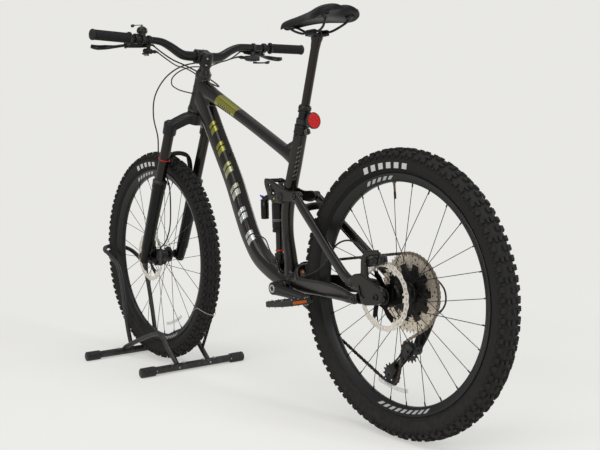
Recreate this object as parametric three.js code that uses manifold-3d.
// A full-suspension trail bicycle standing in a tubular floor stand.
// Millimetres, +Z up, +X forwards, +Y to the rider's left. Pieces are laid out from a point on the
// floor midway between the two axles; the finished group is then moved along X so that its
// bounding box is centred on the origin.

import * as THREE from 'three';
import { mergeVertices } from 'three/addons/utils/BufferGeometryUtils.js';
import Module from 'manifold-3d';

const wasm = await Module();
wasm.setup();

// ---------------------------------------------------------------------------
// Driving dimensions
// ---------------------------------------------------------------------------

const RUN = 0.3; // gap between two pieces that touch or turn on each other
const LINK_PLAY = 5.2; // clearance round a pin whose linkage loop is open there

// wheels
const WHEELBASE = 1253;
const TYRE_R = 375;
const TYRE_HALF_W = 31;
const TYRE_ROOM = 2; // between the tyre's side and the nearest stay
const FRONT_LIFT = 9; // the stand holds the front tyre this far off the floor
const RIM_OUTER_R = 311;
const RIM_INNER_R = 288;
const RIM_HALF_W = 17;
const SPOKES = 28;
const SPOKE_W = 2.2;
const SPOKE_LEAD = 68; // degrees that a spoke leads its own rim hole at the hub
const AXLE_R = 7.5;
const ROTOR_R = 90;
const ROTOR_T = 1.8;
const FRONT_ROTOR_Y = 40;
const REAR_ROTOR_Y = 58.7;
const FRONT_HUB_HALF = 55;
const REAR_HUB_HALF = 74;

// steering
const HEAD_ANGLE = 66; // degrees from the floor
const FORK_OFFSET = 44; // front axle ahead of the steering axis
const LEG_OFFSET = 24; // fork legs ahead of the steering axis
const LEG_Y = 72;
const STANCHION_R = 17.5;
const STEERER_R = 14.3;
const CROWN_RACE = 575; // distances up the steering axis from the front axle's level
const HEAD_TUBE_TOP = 707;
const LEG_TOP = 523;
const WIPER_TOP = 307;
const FORK_TRAVEL = 140;
const STEM_LOW = 731;
const STEM_TALL = 40;
const STEM_REACH = 35;
const BAR_R = 15.9;
const BAR_END_R = 11.1;
const BAR_HALF = 400;
const BAR_RISE = 41;
const BAR_SWEEP = 27;
const GRIP_LONG = 132;
const GRIP_R = 16;

// frame
const CHAINSTAY_X = 455; // bottom bracket ahead of the rear axle
const BB_DROP = 25;
const BB_R = 22;
const BB_HALF = 46;
const SPINDLE_R = 12;
const SEAT_ANGLE = 72.8;
const SEAT_TUBE_R = 17;
const SEAT_TUBE_TOP = 446; // bottom bracket to the seat tube's top, in height
const POST_OUTER_R = 15.6;
const POST_R = 12.7;
const POST_SHOWN = 190; // length of post shown above its outer tube
const HEAD_TUBE_R = 28;
const DOWN_TUBE_R = 27;
const TOP_TUBE_R = 19;

// suspension pivots, measured from the bottom bracket (x, z)
const MAIN_PIVOT = [-40, 22];
const HORST_PIVOT = [-369, 11];
const ROCKER_REAR = [-69, 267];
const ROCKER_PIVOT = [19, 260];
const SHOCK_UPPER = [67, 286];
const SHOCK_LOWER = [64, 68];
const PIVOT_R = 6;
const LINK_PIN_R = 5;
const SHOCK_STROKE = 52.1;
const CAN_R = 21;
const SHAFT_R = 11;

// drivetrain
const CRANK_LONG = 170;
const CRANK_DROP = 4.6; // degrees that the left crank points below the horizontal, rearwards
const PITCH = 12.7;
const CHAINRING_TEETH = 32;
const COG_TEETH = [51, 39, 30, 23, 17, 13];
const PULLEY_TEETH = 14;
const CHAIN_HALF_H = 4;
const CHAIN_HALF_W = 3;
const CHAINLINE = -52;
const LARGE_COG_Y = -33;
const COG_PITCH = 3.3;
const CHAIN_GAP = 1.2; // between the chain and the discs that it wraps
const PEDAL_LONG = 104;
const PEDAL_WIDE = 98;
const PEDAL_TALL = 17;
const PEDAL_HANG = 7; // degrees

// stand
const FOOT_R = 13;
const CAP_R = 18;
const CAP_LONG = 52;
const FRONT_FOOT_HALF = 229;
const REAR_FOOT_HALF = 204;
const FRONT_FOOT_X = 158; // from the front axle
const REAR_FOOT_X = -214;
const RAIL_R = 9;
const RAIL_Y = 62;
const HOOP_R = 8.2;
const HOOP_REACH = 228.83; // from the front foot to the hoop's foremost point
const HOOP_Y = 54;

// ---------------------------------------------------------------------------
// Derived places, as [x, z] in the bicycle's middle plane
// ---------------------------------------------------------------------------

const rearAxle = [-WHEELBASE / 2, TYRE_R];
const frontAxle = [WHEELBASE / 2, TYRE_R + FRONT_LIFT];
const bb = [rearAxle[0] + CHAINSTAY_X, rearAxle[1] - BB_DROP];
const fromBB = ([x, z]) => [bb[0] + x, bb[1] + z];
const mainPivot = fromBB(MAIN_PIVOT);
const horst = fromBB(HORST_PIVOT);
const rockerRear = fromBB(ROCKER_REAR);
const rockerPivot = fromBB(ROCKER_PIVOT);
const shockUpper = fromBB(SHOCK_UPPER);
const shockLower = fromBB(SHOCK_LOWER);

const headRad = THREE.MathUtils.degToRad(HEAD_ANGLE);
const up = [-Math.cos(headRad), Math.sin(headRad)]; // along the steering axis
const ahead = [Math.sin(headRad), Math.cos(headRad)]; // square to it, forwards
const steerFoot = [frontAxle[0] - FORK_OFFSET * ahead[0], frontAxle[1] - FORK_OFFSET * ahead[1]];
// a point n ahead of the steering axis and t up it
const steer = (t, n = 0) => [0, 1].map((k) => steerFoot[k] + t * up[k] + n * ahead[k]);
const barCentre = steer(STEM_LOW + STEM_TALL / 2, STEM_REACH);

const seatRad = THREE.MathUtils.degToRad(SEAT_ANGLE);
const seatUp = [-Math.cos(seatRad), Math.sin(seatRad)];
const seatTop = fromBB([-47, SEAT_TUBE_TOP]);
const onSeatTube = (t) => [0, 1].map((k) => seatTop[k] + t * seatUp[k]);

const toothRadius = (teeth) => (PITCH * teeth) / (2 * Math.PI);
const upperPulley = [rearAxle[0], rearAxle[1] - 153];
const lowerPulley = [rearAxle[0] + 73, rearAxle[1] - 226];

// ---------------------------------------------------------------------------
// Solids
// ---------------------------------------------------------------------------

// a closed three.js geometry becomes a solid, whichever way its faces were wound
function solid(geometry) {
  const bare = geometry.index ? geometry.toNonIndexed() : geometry.clone();
  for (const extra of ['normal', 'uv']) bare.deleteAttribute(extra);
  const welded = mergeVertices(bare, 1e-3);
  const at = welded.attributes.position.array;
  const index = [...welded.index.array];
  const faces = [];
  let volume = 0;
  for (let i = 0; i < index.length; i += 3) {
    const [a, b, c] = index.slice(i, i + 3);
    if (a === b || b === c || c === a) continue;
    const [p, q, r] = [a, b, c].map((v) => new THREE.Vector3().fromArray(at, 3 * v));
    volume += p.dot(q.cross(r));
    faces.push([a, b, c]);
  }
  const wound = volume < 0 ? faces.map(([a, b, c]) => [a, c, b]) : faces;
  return new wasm.Manifold(
    new wasm.Mesh({
      numProp: 3,
      vertProperties: new Float32Array(at),
      triVerts: new Uint32Array(wound.flat()),
    }),
  );
}

const join = (...parts) => parts.reduce((a, b) => a.add(b));
const cut = (body, ...tools) => tools.reduce((a, b) => a.subtract(b), body);
const V = (x, y, z) => new THREE.Vector3(x, y, z);
const at = ([x, z], y = 0) => V(x, y, z);

// a straight round bar from a to b, which may taper
function bar(a, b, ra, rb = ra, sides = 8) {
  const length = a.distanceTo(b);
  const shape = new THREE.CylinderGeometry(rb, ra, length, sides);
  const turn = new THREE.Quaternion().setFromUnitVectors(V(0, 1, 0), b.clone().sub(a).normalize());
  shape.applyQuaternion(turn);
  const middle = a.clone().add(b).multiplyScalar(0.5);
  return solid(shape.translate(middle.x, middle.y, middle.z));
}

// a pin or bore across the bicycle, through a point of its middle plane
const crossBar = (point, y0, y1, r, sides = 12) => bar(at(point, y0), at(point, y1), r, r, sides);

function block(centre, size, tilt = 0) {
  const shape = new THREE.BoxGeometry(...size);
  shape.rotateY(-THREE.MathUtils.degToRad(tilt));
  return solid(shape.translate(centre.x, centre.y, centre.z));
}

// a flat plate across Y from y0 to y1, its outline given as [x, z] points
function plate(outline, y0, y1) {
  const shape = new THREE.Shape(outline.map(([x, z]) => new THREE.Vector2(x, z)));
  const slab = new THREE.ExtrudeGeometry(shape, { depth: y1 - y0, bevelEnabled: false });
  slab.rotateX(Math.PI / 2);
  return solid(slab.translate(0, y1, 0));
}

// a tube of changing oval section along a smooth path: half is its half width across the bicycle
// and its half height, at each of the path's points
function tube(points, halves, { sides = 10, steps = 8, side = V(0, 1, 0), square = 2 } = {}) {
  const path = new THREE.CatmullRomCurve3(points, false, 'centripetal');
  const size = new THREE.CatmullRomCurve3(
    points.map((_, i) => V(...[halves[Math.min(i, halves.length - 1)]].flat(), 0).setZ(0)),
    false,
    'centripetal',
  );
  const evenSizes = halves.length === 1;
  const rings = [];
  for (let s = 0; s <= steps; s++) {
    const u = s / steps;
    const middle = path.getPoint(u);
    const along = path.getTangent(u);
    const across = side.clone().addScaledVector(along, -side.dot(along)).normalize();
    const height = along.clone().cross(across);
    const [w, h] = evenSizes ? [halves[0]].flat() : [size.getPoint(u).x, size.getPoint(u).y];
    rings.push(oval(sides, square).map(([c, d]) =>
      middle.clone().addScaledVector(across, w * c).addScaledVector(height, (h ?? w) * d)));
  }
  return solid(skin(rings));
}

function oval(sides, square) {
  const soften = (v) => Math.sign(v) * Math.abs(v) ** (2 / square);
  return Array.from({ length: sides }, (_, i) => {
    const a = ((i + 0.5) * 2 * Math.PI) / sides;
    return [soften(Math.cos(a)), soften(Math.sin(a))];
  });
}

// a closed skin over rings of points; a loop's last ring meets its first
function skin(rings, loop = false) {
  const n = rings[0].length;
  const spots = rings.flat();
  const faces = [];
  const last = loop ? rings.length : rings.length - 1;
  for (let i = 0; i < last; i++) {
    const a = i * n;
    const b = ((i + 1) % rings.length) * n;
    for (let k = 0; k < n; k++) {
      const m = (k + 1) % n;
      faces.push([a + k, b + k, b + m], [a + k, b + m, a + m]);
    }
  }
  if (!loop) {
    for (const [first, flip] of [[0, false], [(rings.length - 1) * n, true]]) {
      for (let k = 1; k < n - 1; k++) {
        const fan = [first, first + k, first + k + 1];
        faces.push(flip ? fan.reverse() : fan);
      }
    }
  }
  const geometry = new THREE.BufferGeometry().setFromPoints(spots);
  geometry.setIndex(faces.flat());
  return geometry;
}

// a round hose, cable or bent tube of one size
function hose(points, r, steps, sides = 8) {
  const ring = Array.from({ length: sides }, (_, i) => {
    const a = (i * 2 * Math.PI) / sides;
    return new THREE.Vector2(r * Math.cos(a), r * Math.sin(a));
  });
  const path = new THREE.CatmullRomCurve3(points, false, 'centripetal');
  const shape = new THREE.Shape(ring);
  return solid(new THREE.ExtrudeGeometry(shape, { steps, extrudePath: path, bevelEnabled: false }));
}

// a turned piece about the Y axis; its profile's [radius, y] points close on themselves
function turned(profile, segments = 36, centre = V(0, 0, 0)) {
  const closed = [...profile, profile[0]].map(([r, y]) => new THREE.Vector2(r, y));
  const shape = new THREE.LatheGeometry(closed, segments);
  return solid(shape.translate(centre.x, centre.y, centre.z));
}

// a piece of the model: one named mesh with its own material
function piece(name, body, [color, roughness, metalness]) {
  const { vertProperties, triVerts } = body.getMesh();
  const geometry = new THREE.BufferGeometry();
  geometry.setAttribute('position', new THREE.BufferAttribute(vertProperties, 3));
  geometry.setIndex(new THREE.BufferAttribute(triVerts, 1));
  geometry.computeVertexNormals();
  const material = new THREE.MeshStandardMaterial({ color, roughness, metalness });
  const mesh = new THREE.Mesh(geometry, material);
  mesh.name = name;
  return mesh;
}

function group(x, z, ...members) {
  const set = new THREE.Group();
  set.position.set(x, 0, z);
  set.add(...members);
  return set;
}

// colour, roughness and metalness of each finish
const PAINT = [0x2c2e2f, 0.35, 0.6];
const BLACK = [0x141516, 0.45, 0.3];
const ANODISED = [0x1b1c1d, 0.35, 0.8];
const RUBBER = [0x1a1a1a, 0.9, 0];
const STEEL = [0xb9b2a6, 0.35, 0.9];
const CHAIN_STEEL = [0x4a433c, 0.4, 0.8];
const RED = [0xc81a18, 0.3, 0];

const sides = [['left', 1], ['right', -1]];

// ---------------------------------------------------------------------------
// Frame
// ---------------------------------------------------------------------------

const headMiddle = steer((CROWN_RACE + HEAD_TUBE_TOP) / 2);

// points along a tube that bows away from the straight line a to b: each is [share, bow]
function bowed(a, b, bows) {
  const [dx, dz] = [b[0] - a[0], b[1] - a[1]];
  const length = Math.hypot(dx, dz);
  return bows.map(([share, bow]) =>
    V(a[0] + dx * share - (dz / length) * bow, 0, a[1] + dz * share + (dx / length) * bow));
}

const downTubeEnd = steer(CROWN_RACE + 70);
const topTubeEnd = steer(CROWN_RACE + 84);
const topTubeStart = onSeatTube(-78);

function frame() {
  const headLow = at(steer(CROWN_RACE + RUN));
  const headHigh = at(steer(HEAD_TUBE_TOP));
  const downTube = tube(
    bowed(bb, downTubeEnd,
      [[0.02, -6], [0.1, -41], [0.2, -74], [0.3, -79], [0.41, -64], [0.55, -40], [0.76, -21], [0.98, 0]]),
    [[30, 22], [30, 26], [28, 28], [26, 28], [26, 28], [26, 28], [25, 29], [24, 34]],
    { steps: 9, sides: 8, square: 2.6 },
  );
  const topTube = tube(
    bowed(topTubeStart, topTubeEnd, [[0, 0], [0.1, 2], [0.5, 5], [0.85, 3], [0.98, 0]]),
    [[15, 24], [16, 18], [18, 17], [20, 22], [22, 32]],
    { steps: 4, sides: 8, square: 2.6 },
  );
  const seatTube = tube(
    [at(fromBB([4, 10])), at(fromBB([10, 80])), at(fromBB([22, 150])), at(fromBB([22, 215])),
      at(fromBB([8, 275])), at(onSeatTube(-90)), at(onSeatTube(-40)), at(onSeatTube(0))],
    [[24, 24], [19, 19], [SEAT_TUBE_R, SEAT_TUBE_R + 1], [19, 18], [20, 18], [19, 19], [19, 19],
      [SEAT_TUBE_R + 2, SEAT_TUBE_R + 2]],
    { steps: 8, sides: 8 },
  );
  const gussetNose = bowed(topTubeStart, topTubeEnd, [[0.84, -24]])[0];
  const headGusset = plate(
    [steer(HEAD_TUBE_TOP - 20), steer(CROWN_RACE + 30), [gussetNose.x, gussetNose.z - 4]], -14, 14);
  const seatGusset = tube(
    [at(onSeatTube(-20)), bowed(topTubeStart, topTubeEnd, [[0.1, 2]])[0]], [[11, 9], [13, 14]], { steps: 2 });
  const shockEars = sides.map(([, s]) => plate(
    [[shockLower[0] - 24, shockLower[1] - 30], [shockLower[0] + 26, shockLower[1] - 30],
      [shockLower[0] + 13, shockLower[1] + 10], [shockLower[0] - 12, shockLower[1] + 10]],
    Math.min(s * 12.3, s * 22), Math.max(s * 12.3, s * 22)));
  const pivotWeb = plate(
    [[mainPivot[0] - 4, mainPivot[1] - 14], [bb[0], bb[1] - 10], [bb[0] + 6, bb[1] + 44],
      [mainPivot[0] + 4, mainPivot[1] + 14]], -20, 20);
  const body = join(
    bar(headLow, headHigh, HEAD_TUBE_R + 1, HEAD_TUBE_R - 3, 14),
    downTube, topTube, seatTube, headGusset, seatGusset, ...shockEars, pivotWeb,
    crossBar(mainPivot, -30, 30, 16), crossBar(bb, -BB_HALF, BB_HALF, BB_R, 16),
    crossBar(rockerPivot, -ROCKER_IN + RUN, ROCKER_IN - RUN, 15), crossBar(shockLower, -22, 22, LINK_PIN_R),
  );
  return cut(
    body,
    bar(at(steer(CROWN_RACE - 5)), at(steer(HEAD_TUBE_TOP + 5)), 20, 20, 12),
    crossBar(bb, -BB_HALF - 5, BB_HALF + 5, SPINDLE_R + RUN, 16),
    crossBar(mainPivot, -35, 35, PIVOT_R + RUN),
    crossBar(rockerPivot, -ROCKER_IN - 3, ROCKER_IN + 3, PIVOT_R + RUN),
    bar(at(onSeatTube(-140)), at(onSeatTube(10)), POST_OUTER_R + RUN, POST_OUTER_R + RUN, 16),
    crossBar(shockLower, -12.3, 12.3, 20),
  );
}

function seatClamp() {
  const [low, high] = [at(onSeatTube(RUN)), at(onSeatTube(26))];
  const ear = at(onSeatTube(13)).add(V(-27, 0, -8));
  return cut(
    join(bar(low, high, 21, 21, 16), block(ear, [16, 15, 16], 17)),
    bar(at(onSeatTube(-5)), at(onSeatTube(30)), POST_OUTER_R + RUN, POST_OUTER_R + RUN, 16),
  );
}

const POST_COLLAR = 62; // seal head's foot above the seat tube's top
const POST_TOP = 84;
const POST_FOOT = 24; // the inner post's foot, which drops 150 mm inside the outer tube

function dropperOuter() {
  return cut(
    join(
      bar(at(onSeatTube(-135)), at(onSeatTube(POST_COLLAR + 6)), POST_OUTER_R, POST_OUTER_R, 16),
      bar(at(onSeatTube(POST_COLLAR)), at(onSeatTube(POST_TOP)), 19, 18, 16),
    ),
    bar(at(onSeatTube(-130)), at(onSeatTube(POST_TOP + 5)), POST_R + RUN, POST_R + RUN, 16),
  );
}

const reflectorAt = onSeatTube(34);

function rearReflector() {
  const centre = V(reflectorAt[0] - 45, 0, reflectorAt[1] + 2);
  const back = bar(centre, centre.clone().add(V(-9, 0, 0)), 23, 24, 16);
  const arm = bar(at(onSeatTube(37)).add(V(-POST_OUTER_R - 2.9, 0, 0)), centre, 4, 6, 8);
  const [low, high] = [at(onSeatTube(30)), at(onSeatTube(44))];
  const band = cut(
    bar(low, high, 19, 19, 16),
    bar(at(onSeatTube(20)), at(onSeatTube(50)), POST_OUTER_R + RUN, POST_OUTER_R + RUN, 16));
  return join(back, arm, band);
}

// ---------------------------------------------------------------------------
// Dropper post and saddle
// ---------------------------------------------------------------------------

const postHead = onSeatTube(POST_TOP + POST_SHOWN);
const railZ = postHead[1] + 16;
const RAIL_WIRE_R = 3.5;
const RAIL_HALF = 22;
const SADDLE_BACK = -125;
const SADDLE_NOSE = 158;

function dropperPost() {
  const grooves = sides.map(([, s]) =>
    bar(
      V(postHead[0] - 40, s * RAIL_HALF, railZ),
      V(postHead[0] + 40, s * RAIL_HALF, railZ),
      RAIL_WIRE_R + 3 * RUN));
  const clamp = cut(block(V(postHead[0] - 2, 0, railZ - 2), [44, 60, 17]), ...grooves);
  const neck = bar(
    at(onSeatTube(POST_TOP + POST_SHOWN - 28)), at(onSeatTube(POST_TOP + POST_SHOWN + 9)), POST_R, 17, 16);
  return join(
    bar(at(onSeatTube(POST_FOOT)), at(onSeatTube(POST_TOP + POST_SHOWN - 20)), POST_R, POST_R, 16),
    neck,
    clamp);
}

// the rails are one bent wire: both sides, and the loop under the nose
function saddleRails(r = RAIL_WIRE_R) {
  const half = [[SADDLE_BACK + 30, 44, 38], [SADDLE_BACK + 38, 40, 24], [-62, 28, 8], [-36, RAIL_HALF, 0],
    [-24, RAIL_HALF, 0], [24, RAIL_HALF, 0], [36, RAIL_HALF, 0], [74, 21, 11], [112, 15, 28], [130, 5, 32]];
  const wire = (s) => half.map(([x, y, z]) => V(postHead[0] + x, s * y, railZ + z));
  return hose([...wire(1), ...wire(-1).reverse()], r, 20);
}

// sections from tail to nose: x, half width, edge height, crown height, depth of the skirt
const SADDLE_SECTIONS = [
  [SADDLE_BACK, 44, 48, 58, 14], [-112, 66, 44, 64, 26], [-86, 73, 36, 67, 30], [-50, 66, 34, 66, 28],
  [-10, 44, 36, 62, 22], [35, 29, 36, 57, 19], [85, 22, 34, 53, 18], [135, 18, 30, 49, 16],
  [SADDLE_NOSE, 10, 28, 42, 12],
];

function saddle() {
  const rings = SADDLE_SECTIONS.map(([x, w, edge, crown, skirt]) => {
    const place = (y, z) => V(postHead[0] + x, y, railZ + z);
    const low = edge - skirt * 0.35;
    return [
      place(0, crown), place(w * 0.5, crown - 1),
      place(w * 0.85, edge + (crown - edge) * 0.55), place(w, edge),
      place(w * 0.97, low), place(w * 0.7, low + 5), place(0, low + 9),
      place(-w * 0.7, low + 5), place(-w * 0.97, low),
      place(-w, edge), place(-w * 0.85, edge + (crown - edge) * 0.55), place(-w * 0.5, crown - 1),
    ];
  });
  // the rails' ends and nose loop sit in sockets of the saddle's shell
  const sockets = sides.map(([, s]) =>
    bar(
      V(postHead[0] + SADDLE_BACK + 32, s * 43, railZ + 34),
      V(postHead[0] + SADDLE_BACK + 29, s * 44.5, railZ + 41),
      5.5));
  return cut(solid(skin(rings)), saddleRails(RAIL_WIRE_R + RUN), ...sockets);
}

// ---------------------------------------------------------------------------
// Rear suspension
// ---------------------------------------------------------------------------

const fromRear = (x, z, y) => V(rearAxle[0] + x, y, rearAxle[1] + z);

function chainstay() {
  const stays = sides.map(([, s]) => tube(
    [at(mainPivot, s * 38), fromRear(372, -8, s * (TYRE_HALF_W + TYRE_ROOM + 8)),
      fromRear(325, -8, s * (TYRE_HALF_W + TYRE_ROOM + 13)), fromRear(268, -6, s * 53),
      fromRear(193, -6, s * 65), fromRear(134, -9, s * 77), fromRear(108, -12, s * 82), at(horst, s * 82)],
    [[6.5, 15], [8, 21], [8, 22], [8, 22], [8, 21], [6, 17], [5.5, 15], [5.5, 12]],
    { steps: 7, sides: 8, square: 3 }));
  const eyes = sides.map(([, s]) => crossBar(horst, s * 76, s * 88, 13.5));
  const pins = sides.map(([, s]) => crossBar(horst, s * 62.5, s * 80, PIVOT_R));
  const ears = sides.map(([, s]) => crossBar(mainPivot, s * 30.3, s * 45, 16));
  const yoke = sides.map(([, s]) => tube(
    [fromRear(376, 4, s * 40), fromRear(388, 28, s * 34),
      fromRear(392, 38, s * 18), fromRear(392, 39, s * -2)],
    [[8, 9], [8, 9], [8, 8], [8, 8]], { steps: 4, sides: 8, side: V(1, 0, 0) }));
  return join(...stays, ...eyes, ...pins, ...ears, ...yoke, crossBar(mainPivot, -44, 44, PIVOT_R));
}

// the rocker's plates stand either side of the shock's can, and the seatstay's tops outside them
const ROCKER_IN = CAN_R + 1;
const ROCKER_OUT = ROCKER_IN + 7.5;
const STAY_TOP_Y = ROCKER_OUT + 8.5;

function seatstay() {
  const stays = sides.map(([, s]) => tube(
    [at(rockerRear, s * STAY_TOP_Y), fromRear(345, 208, s * 44), fromRear(270, 148, s * 54),
      fromRear(182, 78, s * 67), fromRear(112, 32, s * 77), fromRear(62, 26, s * 81)],
    [[6.5, 13], [8, 14], [8, 14], [8, 14], [8, 15], [7, 15]], { steps: 6, sides: 8, square: 3 }));
  const tops = sides.map(([, s]) =>
    crossBar(rockerRear, s * (STAY_TOP_Y - 7), s * (STAY_TOP_Y + 7), LINK_PIN_R + LINK_PLAY + 4));
  const bridge = tube(
    [fromRear(345, 208, -46), fromRear(338, 214, -26), fromRear(336, 216, 0), fromRear(338, 214, 26),
      fromRear(345, 208, 46)],
    [[8, 11]], { steps: 6, sides: 8, side: V(1, 0, 0) });
  const dropouts = sides.map(([, s]) => dropout(s));
  const strut = rearPlate([[58, 46], [34, 44], [36, 82], [56, 88]], 77, 87);
  const mount = rearPlate(
    [[40, 80], [56, 84], [54, 100], [36, 116], [-4, 120], [-8, 109], [20, 105], [34, 99]], 77, 87);
  const hanger = rearPlate([[-18, -10], [18, -10], [9, -46], [-14, -48]], -84, -75.4);
  const play = LINK_PIN_R + LINK_PLAY;
  return cut(
    join(...stays, ...tops, bridge, ...dropouts, strut, mount, hanger),
    ...sides.map(([, s]) => crossBar(rockerRear, s * (STAY_TOP_Y - 10), s * (STAY_TOP_Y + 10), play)),
    ...sides.map(([, s]) => crossBar(horst, s * 55, s * 75.7, PIVOT_R + RUN)),
    // clearance round each chainstay's eye
    ...sides.map(([, s]) => crossBar(horst, s * 75.7, s * 96, 14.5)),
    crossBar(rearAxle, -95, 95, PIVOT_R + RUN),
  );
}

// a plate whose outline is measured from the rear axle
const rearPlate = (outline, y0, y1) =>
  plate(outline.map(([x, z]) => [rearAxle[0] + x, rearAxle[1] + z]), Math.min(y0, y1), Math.max(y0, y1));

function dropout(s) {
  const thick = rearPlate(
    [[104, 38], [92, 24], [64, 8], [60, -14], [44, -26], [0, -20], [-20, -13], [-28, 4], [-24, 24],
      [4, 34], [30, 46], [58, 56], [84, 52]], s * 74.6, s * 88);
  // the tongue inside the chainstay's end turns on the pivot there
  const tongue = rearPlate(
    [[40, 12], [42, -24], [76, -27], [92, -26], [98, -14], [94, -3], [82, 4], [60, 16]], s * 64.5, s * 75.7);
  return join(thick, tongue);
}

function rearAxlePin() {
  return join(crossBar(rearAxle, -84, 90, PIVOT_R), crossBar(rearAxle, 88.3, 92, 9));
}

// a caliper straddles its rotor: its slot is open towards the axle
function caliper(centre, rotorY, tilt) {
  const body = join(
    block(V(centre.x, rotorY + 9, centre.z), [52, 18, 30], tilt),
    block(V(centre.x, rotorY - 7, centre.z), [44, 14, 28], tilt),
    bar(V(centre.x, rotorY + 4, centre.z), V(centre.x, rotorY + 22, centre.z), 11, 10),
  );
  return cut(body, block(V(centre.x, rotorY, centre.z - 11), [76, 4.4, 34], tilt));
}

function rocker() {
  const F = rockerPivot;
  const outline = [[75, 58], [80, 46], [66, 12], [48, -8], [20, -16], [-30, -8], [-82, -10], [-100, 0],
    [-102, 12], [-90, 21], [-44, 22], [-4, 34]].map(([x, z]) => [F[0] + x, F[1] + z]);
  const plates = sides.map(([, s]) =>
    plate(outline, Math.min(s * ROCKER_IN, s * ROCKER_OUT), Math.max(s * ROCKER_IN, s * ROCKER_OUT)));
  const window = plate(
    [[52, 40], [58, 36], [40, 12], [24, 14]].map(([x, z]) => [F[0] + x, F[1] + z]), -40, 40);
  const pins = sides.map(([, s]) =>
    crossBar(rockerRear, s * (ROCKER_IN + 6), s * (STAY_TOP_Y + 8), LINK_PIN_R));
  const web = block(V(F[0] + 68, 0, F[1] + 50), [10, 2 * ROCKER_IN + 6, 13], 0);
  return join(
    cut(join(...plates), window), ...pins, web,
    crossBar(F, -ROCKER_IN - 6, ROCKER_IN + 6, PIVOT_R),
    crossBar(shockUpper, -ROCKER_IN - 6, ROCKER_IN + 6, LINK_PIN_R));
}

// the shock stands between its two eyes; s is a share of the way up from the lower one
const shockAt = (up) => {
  const [a, b] = [shockLower, shockUpper];
  const length = Math.hypot(b[0] - a[0], b[1] - a[1]);
  return at([a[0] + ((b[0] - a[0]) * up) / length, a[1] + ((b[1] - a[1]) * up) / length]);
};
const SHOCK_LONG = Math.hypot(shockUpper[0] - shockLower[0], shockUpper[1] - shockLower[1]);
const CAN_LOW = 88;
const CAN_HIGH = SHOCK_LONG - 30;
const RESERVOIR = [54, 12]; // ahead of the can, and to its left

function shockBody() {
  const reservoir = [CAN_HIGH - 60, CAN_HIGH - 2].map((h) =>
    shockAt(h).add(V(RESERVOIR[0], RESERVOIR[1], 0)));
  const bridge = tube(
    [shockAt(CAN_HIGH - 2).add(V(2, 0, 6)), shockAt(CAN_HIGH).add(V(28, 6, 9)),
      shockAt(CAN_HIGH - 2).add(V(RESERVOIR[0], RESERVOIR[1], 2))], [[12, 9]], { steps: 3, sides: 8 });
  const body = join(
    bar(shockAt(CAN_LOW), shockAt(CAN_HIGH), CAN_R - 1, CAN_R, 20),
    bar(shockAt(CAN_HIGH - 1), shockAt(SHOCK_LONG), 15, 10.5),
    crossBar(shockUpper, -12, 12, LINK_PIN_R + LINK_PLAY + 4),
    bar(...reservoir, 12.5, 12.5, 14), bridge,
  );
  return cut(
    body,
    bar(shockAt(CAN_LOW - 5), shockAt(CAN_LOW + 38 + SHOCK_STROKE + 6), SHAFT_R + RUN, SHAFT_R + RUN, 16),
    crossBar(shockUpper, -14, 14, LINK_PIN_R + LINK_PLAY),
  );
}

function shockShaft() {
  return cut(
    join(
      bar(shockAt(5), shockAt(CAN_LOW + 38), SHAFT_R, SHAFT_R, 16),
      bar(shockAt(15), shockAt(CAN_LOW - SHOCK_STROKE - 5), 16, 16, 16),
      crossBar(shockLower, -12, 12, 12),
    ),
    crossBar(shockLower, -14, 14, LINK_PIN_R + RUN),
  );
}

// ---------------------------------------------------------------------------
// Wheels, modelled about their own axle
// ---------------------------------------------------------------------------

const WHEEL_SEGMENTS = 24;

function tyre() {
  const bead = RIM_HALF_W - 3.5;
  const outer = [[TYRE_R, 10], [TYRE_R - 11, TYRE_HALF_W - 4], [TYRE_R - 32, TYRE_HALF_W],
    [RIM_OUTER_R + 2 * RUN, bead - 0.5], [RIM_OUTER_R - 6, bead - 0.5]];
  const inner = [[RIM_OUTER_R - 6, bead - 4], [TYRE_R - 34, TYRE_HALF_W - 4], [TYRE_R - 9, 9]];
  const left = [...outer, ...inner];
  return turned([...left, ...mirror(outer, inner)], WHEEL_SEGMENTS);
}

// the other side of a profile, walked so that the whole stays one loop
const mirror = (outer, inner) => [...outer, ...inner].reverse().map(([r, y]) => [r, -y]);

function rim() {
  const half = [[RIM_INNER_R, 8], [RIM_OUTER_R, RIM_HALF_W], [RIM_OUTER_R, RIM_HALF_W - 3.5],
    [RIM_OUTER_R - 6.4, RIM_HALF_W - 3.5], [RIM_OUTER_R - 9, 6]];
  const ring = turned([...half, ...[...half].reverse().map(([r, y]) => [r, -y])], WHEEL_SEGMENTS);
  const valve = bar(V(0, 0, RIM_INNER_R + 4), V(0, 0, RIM_INNER_R - 46), 3, 2.4, 6);
  return join(ring, valve);
}

// a spoke's end stops just short of the rim's inner face, which is a polygon
const SPOKE_REACH = RIM_INNER_R * Math.cos(Math.PI / WHEEL_SEGMENTS) - 2 * RUN;

// flanges holds each flange's y; a spoke runs from its flange to the rim, leading or trailing
function hub(core, flanges, flangeR, half, phase) {
  const body = turned([[AXLE_R + RUN, -half], ...core, [AXLE_R + RUN, half]], 14);
  const spokes = Array.from({ length: SPOKES }, (_, i) => {
    const rimAngle = THREE.MathUtils.degToRad((i * 360) / SPOKES + phase);
    const lead = Math.floor(i / 2) % 2 ? 1 : -1;
    const hubAngle = rimAngle + THREE.MathUtils.degToRad(lead * SPOKE_LEAD);
    const [y0, y1] = [flanges[i % 2] + lead * 2.8, (i % 2 ? -1 : 1) * 2];
    const from = V((flangeR - 3) * Math.sin(hubAngle), y0, (flangeR - 3) * Math.cos(hubAngle));
    const to = V(SPOKE_REACH * Math.sin(rimAngle), y1, SPOKE_REACH * Math.cos(rimAngle));
    return bar(from, to, SPOKE_W / 1.6, SPOKE_W / 1.6, 3);
  });
  return join(body, ...spokes);
}

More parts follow.
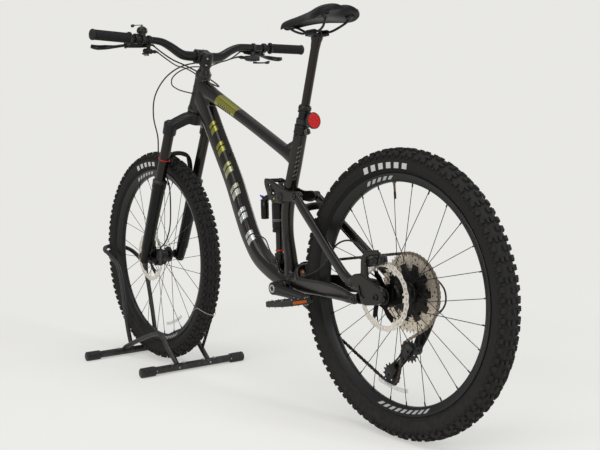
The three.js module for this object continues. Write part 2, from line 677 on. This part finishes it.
const FRONT_CORE = [[11, -FRONT_HUB_HALF], [12, -38], [28, -37.4], [28, -28.6], [13, -26],
  [28, 19.1], [28, 27.9], [17.6, 29], [17.6, 42], [11, 44], [11, FRONT_HUB_HALF]];
const REAR_CORE = [[11, -REAR_HUB_HALF], [11, -31.2], [30, -28.4], [30, -19.6], [17, -17],
  [30, 30.1], [30, 38.9], [17.6, 42], [17.6, 61], [11, 63], [11, REAR_HUB_HALF]];

function rotor(y) {
  const half = ROTOR_T / 2;
  const ring = turned(
    [[ROTOR_R - 15, y - half], [ROTOR_R, y - half], [ROTOR_R, y + half], [ROTOR_R - 15, y + half]], 24);
  const carrier = turned([[18.2, y - half], [30, y - half], [30, y + half], [18.2, y + half]], 14);
  const arms = Array.from({ length: 5 }, (_, i) => {
    const [a, b] = [i * 72, i * 72 + 26].map(THREE.MathUtils.degToRad);
    const slab = new THREE.BoxGeometry(8, ROTOR_T, 54);
    slab.rotateY(Math.atan2(78 * Math.sin(b) - 27 * Math.sin(a), 78 * Math.cos(b) - 27 * Math.cos(a)));
    return solid(slab.translate(
      (78 * Math.sin(b) + 27 * Math.sin(a)) / 2, y, (78 * Math.cos(b) + 27 * Math.cos(a)) / 2));
  });
  return join(ring, carrier, ...arms);
}

// sprockets step down outwards, two to a step; the chain wraps the large one, so it stays under
// the chain's rollers
function cassette() {
  const profile = [[11.4, LARGE_COG_Y + 1.2]];
  COG_TEETH.forEach((teeth, i) => {
    const r = toothRadius(teeth) - CHAIN_HALF_H - CHAIN_GAP;
    const y = LARGE_COG_Y - 2 * i * COG_PITCH;
    profile.push([r, y + 1.2], [r, y - 2 * COG_PITCH + 1.2]);
  });
  profile.push([11.4, LARGE_COG_Y - 12 * COG_PITCH + 1.2]);
  return turned(profile, 16);
}

// ---------------------------------------------------------------------------
// Cranks, pedals and chain
// ---------------------------------------------------------------------------

const crankRad = THREE.MathUtils.degToRad(180 + CRANK_DROP);
const pedalAt = (s) => [
  bb[0] + s * CRANK_LONG * Math.cos(crankRad), bb[1] + s * CRANK_LONG * Math.sin(crankRad)];
const ARM_IN = 67; // the arms' inner faces at the pedals
const PEDAL_GAP = 97; // the pedals' inner ends

function crankArm(s) {
  const end = pedalAt(s);
  const share = (k, y) => V(bb[0] + (end[0] - bb[0]) * k, s * y, bb[1] + (end[1] - bb[1]) * k);
  const arm = tube(
    [share(0, 69), share(0.25, 70), share(0.6, 73), share(1, 77)],
    [[9, 19], [8.5, 16], [7.5, 14], [7, 13.5]], { steps: 5, sides: 10, square: 3 });
  return join(
    arm, crossBar(bb, s * 58, s * 78, 19), crossBar(end, s * ARM_IN + s * 3, s * 84, 15),
    crossBar(end, s * 80, s * (PEDAL_GAP + PEDAL_WIDE - 8), 6));
}

function crankLeft() {
  return cut(crankArm(1), crossBar(bb, 40, 90, SPINDLE_R + RUN, 16));
}

function crankRight() {
  return join(
    crankArm(-1), crossBar(bb, -60, 78.5, SPINDLE_R, 16), crossBar(bb, -60, CHAINLINE + 5, 17.6));
}

function chainring() {
  const outer = toothRadius(CHAINRING_TEETH) - CHAIN_HALF_H - CHAIN_GAP;
  const ring = turned([[18, -2], [outer, -2], [outer, 2], [18, 2]], 24, at(bb, CHAINLINE));
  const windows = Array.from({ length: 4 }, (_, i) => {
    const a = THREE.MathUtils.degToRad(45 + 90 * i);
    return bar(at([bb[0] + 38 * Math.sin(a), bb[1] + 38 * Math.cos(a)], CHAINLINE - 5),
      at([bb[0] + 38 * Math.sin(a), bb[1] + 38 * Math.cos(a)], CHAINLINE + 5), 12, 12, 8);
  });
  return cut(ring, ...windows);
}

function pedal(s) {
  const [x, z] = pedalAt(s);
  const y = s * (PEDAL_GAP + PEDAL_WIDE / 2);
  const half = [PEDAL_LONG / 2, PEDAL_WIDE / 2];
  const outline = [
    [-1, -0.55], [-0.72, -1], [0.72, -1], [1, -0.55], [1, 0.55], [0.72, 1], [-0.72, 1], [-1, 0.55]];
  const shape = new THREE.Shape(outline.map(([a, b]) => new THREE.Vector2(x + a * half[0], y + b * half[1])));
  const slab = new THREE.ExtrudeGeometry(shape, { depth: PEDAL_TALL, bevelEnabled: false });
  slab.translate(0, 0, z - PEDAL_TALL / 2);
  const windows = [-1, 1].flatMap((k) => [
    block(V(x + k * 25, y + 17, z), [24, 26, 40]), block(V(x + k * 25, y - 17, z), [24, 26, 40])]);
  const level = cut(
    solid(slab), ...windows,
    bar(V(x, s * (PEDAL_GAP - 4), z), V(x, s * (PEDAL_GAP + PEDAL_WIDE - 7), z), 6.4, 6.4, 12));
  // the pedal hangs free, a little nose down
  const hang = new THREE.Matrix4().makeTranslation(x, 0, z)
    .multiply(new THREE.Matrix4().makeRotationY(THREE.MathUtils.degToRad(PEDAL_HANG)))
    .multiply(new THREE.Matrix4().makeTranslation(-x, 0, -z));
  return level.transform(hang.elements);
}

// the chain's loop: circles are [x, z, radius, turn, y], and turn is +1 or -1
function chainPath(circles) {
  const points = [];
  const runs = circles.map((a, i) => tangent(a, circles[(i + 1) % circles.length]));
  circles.forEach((circle, i) => {
    const [x, z, r, turn, y] = circle;
    const start = runs[(i + circles.length - 1) % circles.length][1];
    let sweep = runs[i][0] - start;
    while (turn * sweep < 0) sweep += turn * 2 * Math.PI;
    while (turn * sweep > 2 * Math.PI) sweep -= turn * 2 * Math.PI;
    const steps = Math.max(2, Math.round(Math.abs(sweep) / 0.25));
    for (let k = 0; k <= steps; k++) {
      const a = start + (sweep * k) / steps;
      points.push([x + r * Math.cos(a), z + r * Math.sin(a), y, a, turn]);
    }
  });
  return points;
}

// angles on two circles where a line that leaves a and reaches b touches them
function tangent([xa, za, ra, ta], [xb, zb, rb, tb]) {
  const distance = Math.hypot(xb - xa, zb - za);
  const along = Math.atan2(zb - za, xb - xa);
  const lean = Math.acos((ta * ra - tb * rb) / distance);
  return [along - lean + (ta < 0 ? Math.PI : 0), along - lean + (tb < 0 ? Math.PI : 0)];
}

function chain() {
  const pulleyR = toothRadius(PULLEY_TEETH);
  const loop = chainPath([
    [...bb, toothRadius(CHAINRING_TEETH), 1, CHAINLINE],
    [...rearAxle, toothRadius(COG_TEETH[0]), 1, LARGE_COG_Y],
    [...upperPulley, pulleyR, -1, LARGE_COG_Y],
    [...lowerPulley, pulleyR, 1, LARGE_COG_Y],
  ]);
  const rings = loop.map(([x, z, y, a]) => {
    const out = V(Math.cos(a), 0, Math.sin(a));
    return [[-1, -1], [1, -1], [1, 1], [-1, 1]].map(([w, h]) =>
      V(x, y + w * CHAIN_HALF_W, z).addScaledVector(out, h * CHAIN_HALF_H));
  });
  return solid(skin(rings, true));
}

// ---------------------------------------------------------------------------
// Rear derailleur
// ---------------------------------------------------------------------------

const CAGE_Y = LARGE_COG_Y;

function derailleur() {
  const knuckle = fromRear(-3, -36, 0);
  return join(
    bar(knuckle.clone().setY(-84.3), knuckle.clone().setY(-99), 12, 11.5, 16),
    tube([knuckle.clone().add(V(0, -93, 0)), knuckle.clone().add(V(-14, -95, -24)),
      V(upperPulley[0] - 12, -74, upperPulley[1] + 50), V(upperPulley[0] + 2, -60, upperPulley[1] + 6)],
    [[7, 12], [10, 15], [12, 18], [8, 15]], { steps: 6, sides: 8, square: 3 }),
    bar(
      V(upperPulley[0] + 2, -66, upperPulley[1] + 2),
      V(upperPulley[0] + 2, CAGE_Y - 14.3, upperPulley[1] + 2),
      16, 16, 16),
    // the last length of the shift housing, from the stay round to the parallelogram
    hose([fromRear(12, 41, -82), fromRear(-20, 44, -85), fromRear(-50, 30, -86), fromRear(-72, 8, -86),
      fromRear(-74, -22, -87), fromRear(-58, -46, -88), fromRear(-28, -62, -89)], 2.5, 14),
  );
}

function derailleurCage() {
  const outline = (grow) => [
    [upperPulley[0] - 14 - grow, upperPulley[1] + 8], [upperPulley[0] + 4, upperPulley[1] + 20 + grow],
    [upperPulley[0] + 20 + grow, upperPulley[1] + 6], [lowerPulley[0] + 12 + grow, lowerPulley[1] + 10],
    [lowerPulley[0] + 10 + grow, lowerPulley[1] - 10], [lowerPulley[0] - 4, lowerPulley[1] - 14 - grow],
    [lowerPulley[0] - 16 - grow, lowerPulley[1] - 2]];
  const outer = plate(outline(3), CAGE_Y - 8.5, CAGE_Y - 6);
  const inner = plate(outline(0), CAGE_Y + 6, CAGE_Y + 8.5);
  const pivot = crossBar([upperPulley[0] + 2, upperPulley[1] + 2], CAGE_Y - 14, CAGE_Y - 8, 14, 12);
  const bolts = [upperPulley, lowerPulley].map((p) => crossBar(p, CAGE_Y - 7, CAGE_Y + 7, 3, 12));
  return join(outer, inner, pivot, ...bolts);
}

function pulley([x, z]) {
  const r = toothRadius(PULLEY_TEETH) - CHAIN_HALF_H - CHAIN_GAP;
  return turned(
    [[3.4, -4], [9, -4], [9, -1.6], [r, -1.5], [r, 1.5], [9, 1.6], [9, 4], [3.4, 4]], 14, V(x, CAGE_Y, z));
}

// ---------------------------------------------------------------------------
// Fork, modelled about the steering axis: X is ahead, Z is up the axis
// ---------------------------------------------------------------------------

function forkUppers() {
  const crownSides = sides.map(([, s]) => tube(
    [V(-2, 0, 548), V(4, s * 24, 545), V(13, s * 48, 528), V(LEG_OFFSET, s * LEG_Y, 505)],
    [[24, 21], [22, 19], [19, 19], [17, 17]], { steps: 3, sides: 8, square: 3, side: V(1, 0, 0) }));
  const legs = sides.flatMap(([, s]) => [
    bar(V(LEG_OFFSET, s * LEG_Y, 478), V(LEG_OFFSET, s * LEG_Y, LEG_TOP), 22.5, 24, 10),
    bar(V(LEG_OFFSET, s * LEG_Y, LEG_TOP - 1), V(LEG_OFFSET, s * LEG_Y, LEG_TOP + 4), 17, 15, 8),
    bar(
      V(LEG_OFFSET, s * LEG_Y, STANCHION_FOOT), V(LEG_OFFSET, s * LEG_Y, 500),
      STANCHION_R, STANCHION_R, 10)]);
  return join(
    ...crownSides, ...legs,
    bar(V(0, 0, 530), V(0, 0, CROWN_RACE), 27, HEAD_TUBE_R, 14),
    bar(V(0, 0, CROWN_RACE - 1), V(0, 0, CROWN_RACE + 20), 19, 15, 12),
    bar(V(0, 0, 560), V(0, 0, STEM_LOW + STEM_TALL - 1), STEERER_R, STEERER_R, 12));
}

const STANCHION_FOOT = 196;
const ARCH = [[36, 67, 284], [50, 64, 312], [56, 60, 342], [57, 50, 370], [57, 34, 389], [57, 10, 395]];

function forkLowers() {
  const legs = sides.flatMap(([, s]) => [
    bar(V(LEG_OFFSET, s * LEG_Y, 40), V(LEG_OFFSET, s * LEG_Y, WIPER_TOP), 20, 23, 10),
    bar(V(LEG_OFFSET + 2, s * LEG_Y, -16), V(LEG_OFFSET, s * LEG_Y, 42), 16, 20, 10),
    bar(V(LEG_OFFSET, s * LEG_Y, WIPER_TOP - 24), V(LEG_OFFSET, s * LEG_Y, WIPER_TOP), 24.5, 24.5, 10),
    bar(V(FORK_OFFSET, s * (FRONT_HUB_HALF + RUN), 0), V(FORK_OFFSET, s * (LEG_Y + 8), 0), 15, 15, 10),
    tube([V(FORK_OFFSET - 4, s * 66, 0), V(LEG_OFFSET + 6, s * 68, 24)], [[9, 15]], { steps: 2, sides: 8 })]);
  const arch = tube(
    [...ARCH.map(([n, y, t]) => V(n, y, t)), ...[...ARCH].reverse().map(([n, y, t]) => V(n, -y, t))],
    [[7, 5.5]], { steps: 9, sides: 6, side: V(1, 0, 0) });
  const mount = join(
    block(V(1, 60, 60), [26, 10, 16]), block(V(-14, 60, 11), [50, 10, 15]));
  // the bolt-through axle, which clamps both dropouts
  const axle = join(
    bar(V(FORK_OFFSET, -LEG_Y - 6, 0), V(FORK_OFFSET, LEG_Y + 6, 0), AXLE_R, AXLE_R, 14),
    bar(V(FORK_OFFSET, -LEG_Y - 12, 0), V(FORK_OFFSET, -LEG_Y, 0), 11, 11, 12));
  return cut(
    join(...legs, arch, mount, axle),
    ...sides.map(([, s]) =>
      bar(V(LEG_OFFSET, s * LEG_Y, STANCHION_FOOT - FORK_TRAVEL - 4), V(LEG_OFFSET, s * LEG_Y, WIPER_TOP + 5),
        STANCHION_R + RUN, STANCHION_R + RUN, 10)));
}

// the front caliper sits behind its rotor, its long side along the rotor's rim
const CALIPER_FROM_AXLE = [-75, 35];
const CALIPER_TILT = -25;

function frontCaliper() {
  const [n, t] = [FORK_OFFSET + CALIPER_FROM_AXLE[0], CALIPER_FROM_AXLE[1]];
  const [inner, outer] = [26, 54.7];
  const body = join(
    block(V(n, (outer + FRONT_ROTOR_Y) / 2, t), [32, outer - FRONT_ROTOR_Y, 62], CALIPER_TILT),
    block(V(n, (inner + FRONT_ROTOR_Y) / 2, t), [32, FRONT_ROTOR_Y - inner, 44], CALIPER_TILT),
    bar(V(n, inner - 2, t), V(n, FRONT_ROTOR_Y + 12, t), 11));
  return cut(body, block(V(n + 10, FRONT_ROTOR_Y, t - 4), [42, 4.4, 90], CALIPER_TILT));
}

function stem() {
  const [low, high] = [STEM_LOW, STEM_LOW + STEM_TALL];
  const mid = (low + high) / 2;
  const clamp = bar(V(0, 0, low), V(0, 0, high), 20.5, 20.5, 12);
  const spacers = join(
    bar(V(0, 0, HEAD_TUBE_TOP + RUN), V(0, 0, HEAD_TUBE_TOP + 12), 25, 18, 12),
    bar(V(0, 0, HEAD_TUBE_TOP + 11), V(0, 0, low + 1), 17.5, 17.5, 12));
  const cap = bar(V(0, 0, high - 0.5), V(0, 0, high + 6), 17, 14, 12);
  const body = block(V(STEM_REACH / 2, 0, mid), [STEM_REACH, 38, 34]);
  const barClamp = bar(V(STEM_REACH, -24, mid), V(STEM_REACH, 24, mid), 24, 24, 12);
  return cut(
    join(clamp, spacers, cap, body, barClamp),
    bar(V(0, 0, HEAD_TUBE_TOP - 5), V(0, 0, high - 0.7), STEERER_R + RUN, STEERER_R + RUN, 12),
    bar(V(STEM_REACH, -40, mid), V(STEM_REACH, 40, mid), BAR_R + 2 * RUN, BAR_R + 2 * RUN, 16));
}

// ---------------------------------------------------------------------------
// Handlebar and controls, modelled about the bar's centre with X forwards and Z up
// ---------------------------------------------------------------------------

const BAR_HALF_PATH = [
  [0, 0, 0], [0, 22, 0], [0, 44, 0], [-1, 72, 3], [-1, 118, BAR_RISE * 0.66], [-3, 146, BAR_RISE * 0.93]];
// the straight outer part of the bar, at a distance y from the middle
const onBar = (y) => {
  const k = (y - 160) / (BAR_HALF - 160);
  return [-5 - (BAR_SWEEP - 5) * k, BAR_RISE + 2 * k];
};

function handlebar() {
  const outer = [172, 205, BAR_HALF].map((y) => [onBar(y)[0], y, onBar(y)[1]]);
  const half = [...BAR_HALF_PATH, ...outer];
  const radii = [BAR_R, BAR_R, BAR_R, BAR_R - 0.6, 13.6, 12.2, 11.3, BAR_END_R, BAR_END_R];
  const left = half.map(([x, y, z]) => V(x, y, z));
  const right = half.slice(1).reverse().map(([x, y, z]) => V(x, -y, z));
  return tube([...right, ...left], [...radii.slice(1).reverse(), ...radii].map((r) => [r, r]),
    { steps: 22, sides: 10, side: V(1, 0, 0) });
}

function barPoint(s, y) {
  const [x, z] = onBar(y);
  return V(x, s * y, z);
}

function grip(s) {
  const inner = BAR_HALF - GRIP_LONG;
  return cut(
    join(
      bar(barPoint(s, inner), barPoint(s, BAR_HALF + 3), GRIP_R, GRIP_R, 12),
      bar(barPoint(s, inner), barPoint(s, inner + 4), GRIP_R + 4, GRIP_R + 4, 12),
      bar(barPoint(s, BAR_HALF - 3), barPoint(s, BAR_HALF + 3), GRIP_R + 1.5, GRIP_R + 1.5, 12)),
    bar(barPoint(s, inner - 5), barPoint(s, BAR_HALF + RUN), BAR_END_R + 3 * RUN, BAR_END_R + 3 * RUN, 12));
}

const CLAMP_Y = 246;
const LEVER_PIVOT = [38, 17, -18]; // from the clamp: forwards, outwards, up

function ringOnBar(s, y, r, width) {
  return bar(barPoint(s, y - width / 2), barPoint(s, y + width / 2), r, r, 12);
}

const boreOnBar = (s, y, width) => ringOnBar(s, y, 11.7 + RUN, width);

function brakeBody(s) {
  const c = barPoint(s, CLAMP_Y);
  const from = (x, y, z) => V(c.x + x, c.y + s * y, c.z + z);
  return cut(
    join(
      ringOnBar(s, CLAMP_Y, 16.5, 14),
      bar(from(13, 0, -3), from(30, -2, -12), 8.5, 8),
      bar(from(34, 22, -18), from(32, -58, -12), 9, 10),
      bar(from(32, -54, -12), from(30, -74, -12), 6, 3.5, 8)),
    boreOnBar(s, CLAMP_Y, 30),
    // the lever's blade swings in this slot
    bar(
      from(LEVER_PIVOT[0], LEVER_PIVOT[1], LEVER_PIVOT[2] - 4.5),
      from(LEVER_PIVOT[0], LEVER_PIVOT[1], LEVER_PIVOT[2] + 4.5),
      13));
}

function brakeBlade(s) {
  const c = barPoint(s, CLAMP_Y);
  const from = (x, y, z) => V(c.x + x, c.y + s * y, c.z + z);
  const [x, y, z] = LEVER_PIVOT;
  return tube(
    [from(x - 4, y - 6, z), from(x + 12, y + 6, z), from(x + 24, y + 26, z - 3), from(x + 28, y + 56, z - 4),
      from(x + 22, y + 88, z - 5), from(x + 26, y + 106, z - 5)],
    [[4, 5], [4, 5.5], [4, 7], [4, 7], [4, 7], [4, 6]], { steps: 9, sides: 8, side: V(0, 0, 1), square: 3 });
}

const REMOTE_Y = 198;
const SHIFTER_Y = 205;

function shifter() {
  const s = -1;
  const c = barPoint(s, SHIFTER_Y);
  const from = (x, y, z) => V(c.x + x, c.y + s * y, c.z + z);
  return cut(
    join(
      ringOnBar(s, SHIFTER_Y, 15.5, 10),
      bar(from(3, 0, -12), from(4, 0, -32), 7, 9),
      tube([from(22, -20, -35), from(8, -4, -37), from(-8, 20, -37)], [[13, 8], [16, 10], [12, 8]],
        { steps: 3, sides: 10, square: 3, side: V(1, 0, 0) }),
      bar(from(20, -16, -34), from(32, -42, -31), 6, 3.5, 8)),
    boreOnBar(s, SHIFTER_Y, 30));
}

function shiftLever() {
  const c = barPoint(-1, SHIFTER_Y);
  const from = (x, y, z) => V(c.x + x, c.y - y, c.z + z);
  return join(
    tube([from(0, 10, -52), from(-18, 30, -52), from(-34, 42, -51)], [[8, 2.6], [7, 2.6], [9, 3]],
      { steps: 3, sides: 8, square: 3, side: V(1, 0.6, 0) }),
    bar(from(2, 8, -54), from(2, 8, -47.6), 8));
}

function dropperRemote() {
  const s = 1;
  const c = barPoint(s, REMOTE_Y);
  const from = (x, y, z) => V(c.x + x, c.y + s * y, c.z + z);
  return cut(
    join(
      ringOnBar(s, REMOTE_Y, 15, 11),
      bar(from(3, 0, -12), from(8, -3, -32), 7),
      bar(from(14, -18, -34), from(8, 14, -34), 8.5),
      bar(from(14, -16, -34), from(20, -38, -33), 5.5, 3.5, 8)),
    boreOnBar(s, REMOTE_Y, 30));
}

function dropperLever() {
  const c = barPoint(1, REMOTE_Y);
  const from = (x, y, z) => V(c.x + x, c.y + y, c.z + z);
  return join(
    bar(from(10, 4, -42.9), from(10, 4, -49), 8),
    tube([from(10, 4, -46), from(-8, 18, -47), from(-26, 30, -47)], [[5, 2.6], [6, 2.6], [9, 3]],
      { steps: 3, sides: 8, square: 3, side: V(0.6, 1, 0) }));
}

const BELL_Y = 222;

function bell() {
  const c = barPoint(1, BELL_Y);
  const from = (x, y, z) => V(c.x + x, c.y + y, c.z + z);
  return cut(
    join(
      ringOnBar(1, BELL_Y, 14.5, 9), bar(from(0, 0, 12), from(0, 0, 22), 6, 6, 8),
      bar(from(0, 0, 20), from(0, 0, 25), 12, 15), bar(from(0, 0, 24.9), from(0, 0, 36), 15, 13),
      bar(from(0, 0, 35.9), from(0, 0, 41), 13, 6)),
    boreOnBar(1, BELL_Y, 20));
}

function bellStriker() {
  const c = barPoint(1, BELL_Y);
  const from = (x, y, z) => V(c.x + x, c.y + y, c.z + z);
  return join(
    bar(from(0, 0, 44.4), from(20, 20, 44.4), 3),
    bar(from(18, 18, 44.4), from(27, 24, 42), 4.5, 5));
}

// ---------------------------------------------------------------------------
// Hoses and housings, held all the way between their ends
// ---------------------------------------------------------------------------

const worldBar = ([x, y, z]) => V(barCentre[0] + x, y, barCentre[1] + z);
const worldSteer = ([n, y, t]) => at(steer(t, n), y);
const leverEnd = (s) => {
  const c = barPoint(s, CLAMP_Y);
  return V(barCentre[0] + c.x + 29.8, c.y - s * 76, barCentre[1] + c.z - 12);
};

function frontBrakeHose() {
  return hose([
    leverEnd(-1), worldBar([22, -130, 2]), worldBar([34, -70, -14]), worldBar([44, -20, -14]),
    worldBar([90, 26, -26]), worldBar([142, 58, -62]), worldBar([180, 78, -122]), worldBar([186, 82, -190]),
    worldBar([178, 72, -260]), worldSteer([78, 60, 368]),
    worldSteer([50, 46, 330]), worldSteer([10, 42, 296]),
    worldSteer([-30, 44, 230]), worldSteer([-54, 46, 160]),
    worldSteer([-46, 47, 104]), worldSteer([-22.4, 47, 67.8])],
    2.5, 32);
}

function rearBrakeHose() {
  const port = at(steer(672, -8), -(HEAD_TUBE_R - 2.6));
  return hose([
    leverEnd(1), worldBar([32, 136, 14]), worldBar([42, 84, -10]), worldBar([50, 36, -24]),
    worldBar([56, -10, -40]), worldBar([44, -48, -62]),
    worldBar([4, -62, -88]), worldBar([-26, -HEAD_TUBE_R - 20, -98]),
    port.clone().add(V(2, -2.8, 4))], 2.5, 18);
}

function shiftHousing() {
  const c = barPoint(-1, SHIFTER_Y);
  return hose([
    V(barCentre[0] + c.x + 32.5, c.y + 43.3, barCentre[1] + c.z - 31),
    worldBar([38, -110, -6]), worldBar([60, -60, -24]),
    worldBar([84, -10, -26]), worldBar([116, 18, -40]), worldBar([128, 38, -62]), worldBar([118, 46, -84]),
    worldBar([84, 44, -102]), worldBar([50, 38, -112]), at(steer(634, 4), HEAD_TUBE_R + 0.6)], 2.2, 20);
}

function dropperHousing() {
  const c = barPoint(1, REMOTE_Y);
  return hose([
    V(barCentre[0] + c.x + 20.4, c.y - 39.3, barCentre[1] + c.z - 33),
    worldBar([24, 116, -12]), worldBar([48, 66, -28]),
    worldBar([64, 20, -34]), worldBar([66, -20, -52]), worldBar([50, -50, -80]), worldBar([14, -56, -108]),
    at(steer(648, -8), -HEAD_TUBE_R - 0.4)], 2.2, 18);
}

// the rear hose leaves the left chainstay, arches up inside the stays and meets the caliper
function rearHoseTail() {
  return hose([
    fromRear(350, 16.4, 42), fromRear(318, 27, 40), fromRear(270, 50, 41),
    fromRear(232, 90, 42), fromRear(196, 120, 43),
    fromRear(150, 132, 46), fromRear(108, 126, 52), fromRear(74, 110, 60), fromRear(50, 100, 67)], 2.5, 13);
}

// ---------------------------------------------------------------------------
// Floor stand, modelled from the floor under the front axle
// ---------------------------------------------------------------------------

const stand = (x, y, z) => V(frontAxle[0] + x, y, z);

function foot(x, half) {
  const body = bar(stand(x, -half + 12, CAP_R), stand(x, half - 12, CAP_R), FOOT_R, FOOT_R, 12);
  const caps = sides.flatMap(([, s]) => [
    capEnd(x, s * (half - CAP_LONG), s * half),
    bar(
      stand(x, s * (half - CAP_LONG - 8), CAP_R), stand(x, s * (half - CAP_LONG), CAP_R),
      FOOT_R + 0.5, CAP_R - 0.5)]);
  return join(body, ...caps);
}

// an end cap has a flat under it, which rests on the floor
function capEnd(x, y0, y1) {
  const corner = CAP_R / Math.cos(Math.PI / 12);
  const round = new THREE.CylinderGeometry(corner, corner, Math.abs(y1 - y0), 12);
  round.rotateY(Math.PI / 12);
  return solid(round.translate(frontAxle[0] + x, (y0 + y1) / 2, CAP_R));
}

function standHoop() {
  const half = [
    [FRONT_FOOT_X - 17, HOOP_Y - 3, 14], [FRONT_FOOT_X + 6, HOOP_Y + 2, 100],
    [FRONT_FOOT_X + 52, HOOP_Y + 1, 280], [FRONT_FOOT_X + 80, HOOP_Y, 332],
    [FRONT_FOOT_X + 150, HOOP_Y - 1, 368], [FRONT_FOOT_X + 194, HOOP_Y - 5, 380],
    [FRONT_FOOT_X + 220, TYRE_HALF_W + 3, 388],
    [FRONT_FOOT_X + HOOP_REACH, 13, 391], [FRONT_FOOT_X + HOOP_REACH, 0, 391]];
  const left = half.map(([x, y, z]) => stand(x, y, z));
  const right = half.slice(0, -1).reverse().map(([x, y, z]) => stand(x, -y, z));
  return join(hose([...left, ...right], HOOP_R, 32, 8), foot(FRONT_FOOT_X, FRONT_FOOT_HALF));
}

const RAIL_PATH = [
  [FRONT_FOOT_X - 14, 14, 34], [80, 6, 62], [0, 2, 92], [-66, 0, 111], [-96, 0, 113],
  [-120, 0, 102], [-160, 0, 66], [REAR_FOOT_X + 16, 0, 34]];

function standRail(s) {
  const points = RAIL_PATH.map(([x, out, z]) => stand(x, s * (RAIL_Y + out), z));
  const [first, last] = [points[0], points[points.length - 1]];
  return cut(
    join(
      hose(points, RAIL_R, 11, 8),
      bar(first, first.clone().add(V(14, s * 2, -8)), RAIL_R, 8, 8),
      bar(last, last.clone().add(V(-12, 0, -8)), RAIL_R, 8, 8)),
    ...[FRONT_FOOT_X, REAR_FOOT_X].map((x) =>
      bar(stand(x, -150, CAP_R), stand(x, 150, CAP_R), FOOT_R + RUN, FOOT_R + RUN, 12)));
}

// the strap runs from a tie round the tyre down to the right rail
function wheelStrap() {
  const top = stand(-284, -TYRE_HALF_W - 1.9, 198);
  // it lies on the rail, which slopes 40 degrees there
  const foot = stand(-176.5, -RAIL_Y, 52.1 + (RAIL_R + 0.8) / Math.cos(THREE.MathUtils.degToRad(40)));
  return tube([top, stand(-242, -44, 146), foot], [[8, 1.2]], { steps: 4, sides: 6, side: V(1, 0, 0.7) });
}

// ---------------------------------------------------------------------------
// Assembly
// ---------------------------------------------------------------------------

const steering = new THREE.Group();
steering.position.set(steerFoot[0], 0, steerFoot[1]);
steering.rotation.y = headRad - Math.PI / 2;
steering.add(
  piece('fork_uppers', forkUppers(), ANODISED),
  piece('fork_lowers', forkLowers(), BLACK),
  piece('front_caliper', frontCaliper(), BLACK),
  piece('stem', stem(), BLACK));

const cockpit = group(...barCentre,
  piece('handlebar', handlebar(), BLACK),
  piece('shifter', shifter(), BLACK),
  piece('shift_lever', shiftLever(), BLACK),
  piece('dropper_remote', dropperRemote(), BLACK),
  piece('dropper_lever', dropperLever(), BLACK),
  piece('bell', bell(), BLACK),
  piece('bell_striker', bellStriker(), BLACK),
  ...sides.flatMap(([name, s]) => [
    piece(`grip_${name}`, grip(s), RUBBER),
    piece(`brake_body_${name}`, brakeBody(s), BLACK),
    piece(`brake_blade_${name}`, brakeBlade(s), BLACK)]));

const frontWheel = group(...frontAxle,
  piece('front_tyre', tyre(), RUBBER),
  piece('front_rim', rim(), ANODISED),
  piece('front_hub', hub(FRONT_CORE, [23.5, -33], 28, FRONT_HUB_HALF, 4), BLACK),
  piece('front_rotor', rotor(FRONT_ROTOR_Y), STEEL));

const rearWheel = group(...rearAxle,
  piece('rear_tyre', tyre(), RUBBER),
  piece('rear_rim', rim(), ANODISED),
  piece('rear_hub', hub(REAR_CORE, [34.5, -24], 30, REAR_HUB_HALF, 4), BLACK),
  piece('rear_rotor', rotor(REAR_ROTOR_Y), STEEL),
  piece('cassette', cassette(), STEEL));

const bicycle = new THREE.Group();
bicycle.add(
  piece('frame', frame(), PAINT),
  piece('seat_clamp', seatClamp(), BLACK),
  piece('dropper_outer', dropperOuter(), BLACK),
  piece('rear_reflector', rearReflector(), RED),
  piece('dropper_post', dropperPost(), ANODISED),
  piece('saddle_rails', saddleRails(), BLACK),
  piece('saddle', saddle(), RUBBER),
  piece('chainstay', chainstay(), PAINT),
  piece('seatstay', seatstay(), PAINT),
  piece('rear_axle', rearAxlePin(), ANODISED),
  piece('rear_caliper', caliper(fromRear(20, 90, 0), REAR_ROTOR_Y, -12), BLACK),
  piece('rocker', rocker(), PAINT),
  piece('shock_body', shockBody(), BLACK),
  piece('shock_shaft', shockShaft(), ANODISED),
  piece('crank_left', crankLeft(), BLACK),
  piece('crank_right', crankRight(), BLACK),
  piece('chainring', chainring(), ANODISED),
  piece('chain', chain(), CHAIN_STEEL),
  piece('derailleur', derailleur(), BLACK),
  piece('derailleur_cage', derailleurCage(), BLACK),
  piece('upper_pulley', pulley(upperPulley), BLACK),
  piece('lower_pulley', pulley(lowerPulley), BLACK),
  piece('front_brake_hose', frontBrakeHose(), BLACK),
  piece('rear_brake_hose', rearBrakeHose(), BLACK),
  piece('shift_housing', shiftHousing(), BLACK),
  piece('dropper_housing', dropperHousing(), BLACK),
  piece('rear_brake_hose_tail', rearHoseTail(), BLACK),
  piece('stand_hoop', standHoop(), BLACK),
  piece('stand_rear_foot', foot(REAR_FOOT_X, REAR_FOOT_HALF), BLACK),
  piece('wheel_strap', wheelStrap(), BLACK),
  ...sides.flatMap(([name, s]) => [
    piece(`pedal_${name}`, pedal(s), BLACK),
    piece(`stand_rail_${name}`, standRail(s), BLACK)]),
  steering, cockpit, frontWheel, rearWheel);

const extent = new THREE.Box3().setFromObject(bicycle, true);
bicycle.position.x = -(extent.min.x + extent.max.x) / 2;

export default bicycle;
